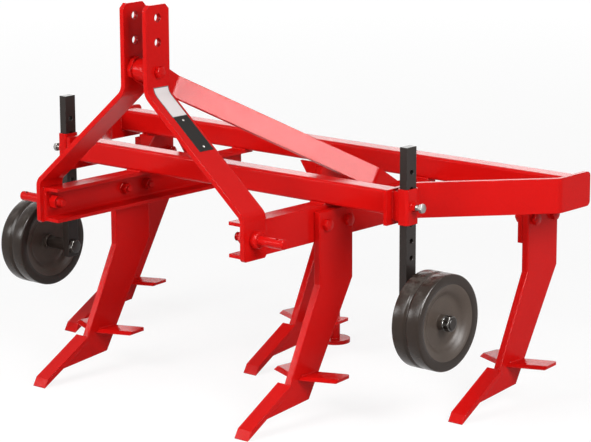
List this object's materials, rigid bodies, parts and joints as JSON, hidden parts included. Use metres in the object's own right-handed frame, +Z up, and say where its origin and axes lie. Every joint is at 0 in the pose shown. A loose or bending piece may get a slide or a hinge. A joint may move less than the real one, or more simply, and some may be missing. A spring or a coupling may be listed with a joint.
{
  "type": "subsoiler",
  "caption": "Mounted subsoiler: box frame under an A-shaped hitch mast, raked shanks with chisel points and side wings, depth wheels on sliding posts and a parking stand.",
  "frame": {"origin": "middle of the bounding box at the ground under the chisel points", "axes": "+X across the machine, towards the pieces named right (the names follow the picture, which looks at the machine from its front), -Y towards the tractor, +Z up"},
  "size_m": [1.45, 0.807, 0.933],
  "materials": {
    "red_paint": "glossy red paint",
    "black_paint": "satin black paint",
    "zinc": "zinc plated"
  },
  "bodies": {
    "frame": {"channel_left": "red_paint", "channel_right": "red_paint", "front_beam": "red_paint", "rear_beam": "red_paint", "side_plate_left": "red_paint", "side_plate_right": "red_paint", "mast_leg_left": "red_paint", "mast_leg_right": "red_paint", "mast_spacer": "red_paint", "mast_bolt": "red_paint", "stay_left": "red_paint", "stay_right": "red_paint", "hitch_pin_left": "red_paint", "hitch_pin_right": "red_paint", "sleeve_left": "red_paint", "sleeve_right": "red_paint", "clamp_bolt_left": "zinc", "clamp_bolt_right": "zinc", "bracket_rear_left": "red_paint", "bracket_rear_middle": "red_paint", "bracket_rear_right": "red_paint", "shank_front_left": "red_paint", "shank_front_right": "red_paint", "shank_rear_left": "red_paint", "shank_rear_middle": "red_paint", "shank_rear_right": "red_paint", "point_front_left": "red_paint", "point_front_right": "red_paint", "point_rear_left": "red_paint", "point_rear_middle": "red_paint", "point_rear_right": "red_paint", "wing_front_left_left": "red_paint", "wing_front_left_right": "red_paint", "wing_front_right_left": "red_paint", "wing_front_right_right": "red_paint", "wing_rear_left_left": "red_paint", "wing_rear_left_right": "red_paint", "wing_rear_middle_left": "red_paint", "wing_rear_middle_right": "red_paint", "wing_rear_right_left": "red_paint", "wing_rear_right_right": "red_paint", "stand_sleeve": "red_paint"},
    "post_left": {"wheel_post_left": "black_paint"},
    "wheel_left": {"wheel_left": "black_paint"},
    "post_right": {"wheel_post_right": "black_paint"},
    "wheel_right": {"wheel_right": "black_paint"},
    "stand": {"stand_leg": "red_paint"}
  },
  "joints": [
    {"name": "post_slide_left", "type": "slide", "parent": "frame", "child": "post_left", "axis": [0, 0, 1], "range_m": [-0.077, 0.1155]},
    {"name": "wheel_spin_left", "type": "hinge", "parent": "post_left", "child": "wheel_left", "pos_m": [-0.637, -0.087, 0.257], "axis": [1, 0, 0], "continuous": true},
    {"name": "post_slide_right", "type": "slide", "parent": "frame", "child": "post_right", "axis": [0, 0, 1], "range_m": [-0.077, 0.1155]},
    {"name": "wheel_spin_right", "type": "hinge", "parent": "post_right", "child": "wheel_right", "pos_m": [0.614, -0.087, 0.257], "axis": [1, 0, 0], "continuous": true},
    {"name": "stand_slide", "type": "slide", "parent": "frame", "child": "stand", "axis": [0, 0, 1], "range_m": [0, 0.22]}
  ]
}
